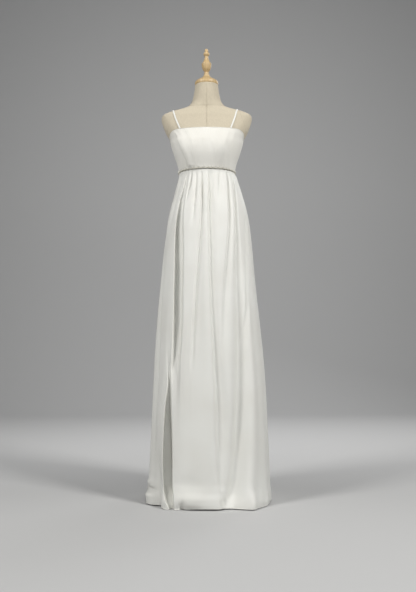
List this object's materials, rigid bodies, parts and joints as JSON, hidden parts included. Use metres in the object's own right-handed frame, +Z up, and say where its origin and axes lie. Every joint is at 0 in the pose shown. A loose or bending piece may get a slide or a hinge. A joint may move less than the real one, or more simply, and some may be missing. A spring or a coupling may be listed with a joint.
{
  "type": "wedding dress on a limbless dress form",
  "caption": "Floor-length empire-waist wedding dress with thin straps, pleated bodice, beaded waist braid and gathered skirt, on a limbless dress form with a turned wooden finial.",
  "frame": {"origin": "on the floor, at the middle of the underside of the stand's round foot, under the pole's axis", "axes": "+Z up along the pole; the front of the dress faces -Y; +X is to the right of someone looking at the front"},
  "size_m": [0.4922, 0.4633, 1.8129],
  "materials": {
    "satin": "soft satin, ivory white",
    "crinkled_satin": "fine crinkle-pleated satin, ivory white",
    "beaded_braid": "corded braid with small beads, pearl grey",
    "linen": "matt linen cover, natural",
    "wood": "turned and clear-lacquered light wood",
    "steel": "brushed tube",
    "painted_iron": "black enamel, satin"
  },
  "bodies": {
    "root": {"form_torso": "linen", "neck_cap": "wood", "finial": "wood", "stand_foot": "painted_iron", "stand_pole": "steel", "pole_socket": "painted_iron", "bodice_front": "crinkled_satin", "bodice_back_right": "crinkled_satin", "bodice_back_left": "crinkled_satin", "strap_right": "satin", "strap_left": "satin", "waist_trim": "beaded_braid", "back_zip": "satin", "skirt_front": "satin", "skirt_back_right": "satin", "skirt_back_left": "satin"}
  },
  "joints": []
}
